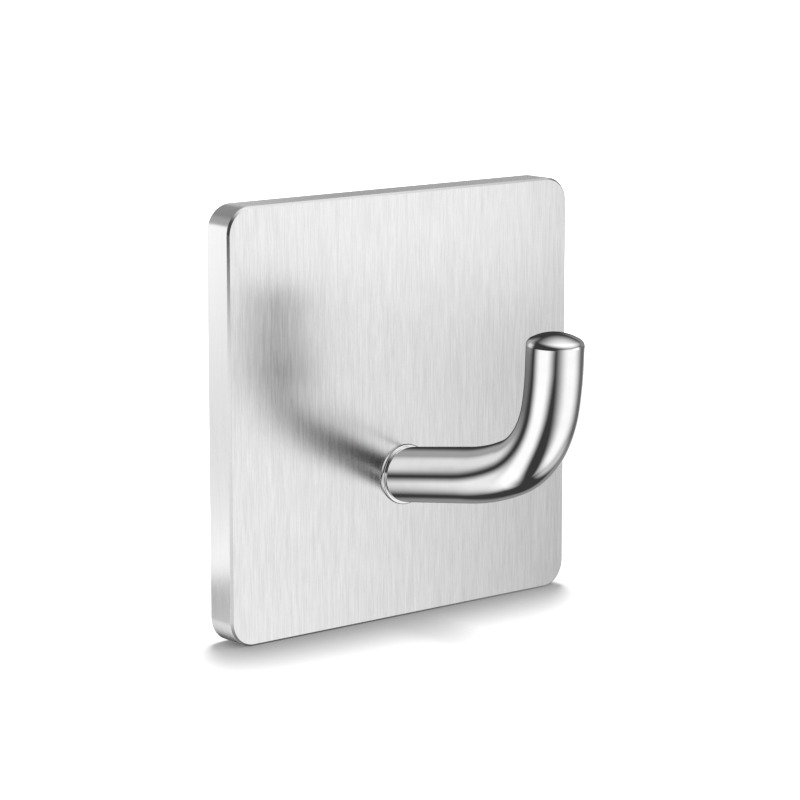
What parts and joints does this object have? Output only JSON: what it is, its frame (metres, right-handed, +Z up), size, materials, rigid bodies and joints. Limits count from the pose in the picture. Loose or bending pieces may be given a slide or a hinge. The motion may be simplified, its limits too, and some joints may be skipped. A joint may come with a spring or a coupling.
{
  "type": "adhesive wall hook",
  "caption": "Square brushed steel plate with a polished round bar that rises out and bends up to a domed tip, and a self-adhesive foam pad behind it, to hang light things on a wall.",
  "frame": {"origin": "centre of the plate, on the wall side of the release liner", "axes": "+Y into the wall, +Z up, +X to the right seen from the front; the bar points to -Y"},
  "size_m": [0.045, 0.0305, 0.045],
  "materials": {
    "brushed_plate": "stainless steel, brushed upright",
    "polished_bar": "mirror polished stainless steel",
    "screw_steel": "plain stainless steel",
    "adhesive": "tacky acrylic film",
    "pad_foam": "closed-cell acrylic foam",
    "liner_paper": "silicone-coated release paper"
  },
  "bodies": {
    "hook": {"face_plate": "brushed_plate", "hook_bar": "polished_bar", "base_collar": "polished_bar", "fixing_screw": "screw_steel", "front_adhesive_film": "adhesive", "foam_core": "pad_foam", "rear_adhesive_film": "adhesive"},
    "liner": {"release_liner": "liner_paper"}
  },
  "joints": [
    {"name": "liner_peel", "type": "slide", "parent": "hook", "child": "liner", "axis": [0, 1, 0], "range_m": [0, 0.03]}
  ]
}
